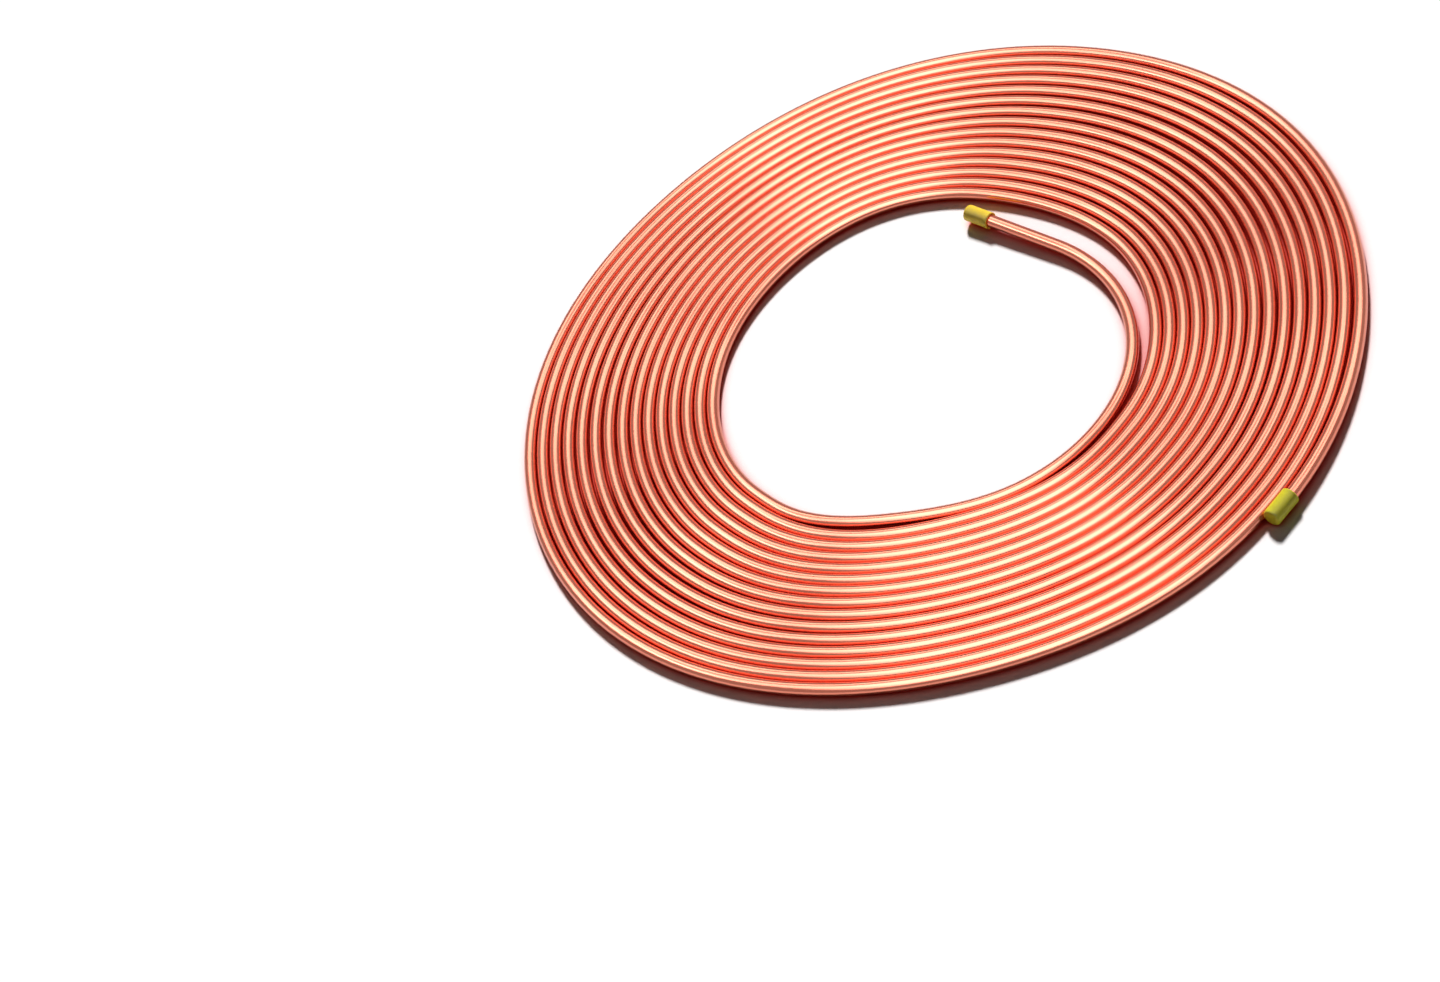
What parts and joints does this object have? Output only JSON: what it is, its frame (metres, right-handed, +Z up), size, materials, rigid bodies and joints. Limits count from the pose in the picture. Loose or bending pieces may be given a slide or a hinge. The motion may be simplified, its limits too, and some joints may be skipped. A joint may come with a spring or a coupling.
{
  "type": "copper tube coil",
  "caption": "Flat single-layer spiral coil of soft copper tube lying on its side face, its two loose ends closed by push-on plastic caps.",
  "frame": {"origin": "centre of the coil on the level plane that it lies on", "axes": "+Z up along the coil's winding axis; seen from above the tube runs outwards clockwise, and the outer end is towards -Y and a little to +X"},
  "size_m": [0.424, 0.4238, 0.0098],
  "materials": {
    "copper": "bright drawn copper",
    "cap_plastic": "soft satin vinyl"
  },
  "bodies": {
    "root": {"tube_coil": "copper", "inner_cap": "cap_plastic", "outer_cap": "cap_plastic"}
  },
  "joints": []
}
